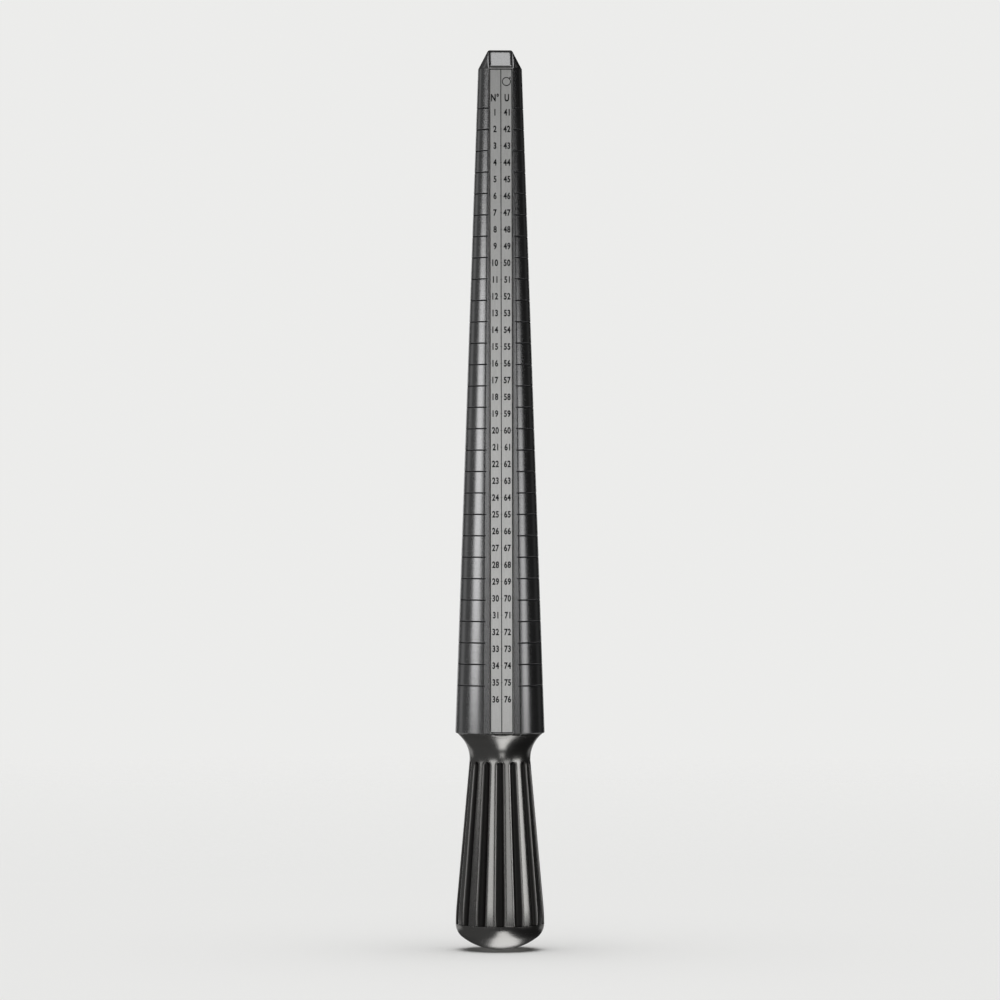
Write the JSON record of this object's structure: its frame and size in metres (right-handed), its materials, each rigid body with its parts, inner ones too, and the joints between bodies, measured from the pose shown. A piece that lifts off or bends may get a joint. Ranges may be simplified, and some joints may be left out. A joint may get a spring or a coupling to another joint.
{
  "type": "ring mandrel",
  "caption": "Tapered aluminium ring-size gauge stick with flat scale plates on opposite sides, turned size grooves, a necked fluted handle and a domed end.",
  "frame": {"origin": "lowest point of the domed end cap, on the mandrel's axis", "axes": "+Z along the axis from the handle to the nose; the number and circumference scale faces -Y and the ring-size and diameter scale faces +Y"},
  "size_m": [0.0248, 0.0246, 0.25],
  "materials": {
    "gauge_aluminium": "satin turned, with dark size grooves",
    "plate_aluminium": "matt anodised, with dark figures and lines",
    "handle_aluminium": "satin polished",
    "fastener_steel": "plain turned"
  },
  "bodies": {
    "root": {"barrel": "gauge_aluminium", "front_scale_plate": "plate_aluminium", "rear_scale_plate": "plate_aluminium", "handle": "handle_aluminium", "end_cap": "handle_aluminium", "tie_rod": "fastener_steel", "alignment_dowel": "fastener_steel", "spring_washer": "fastener_steel", "clamp_nut": "fastener_steel"}
  },
  "joints": []
}
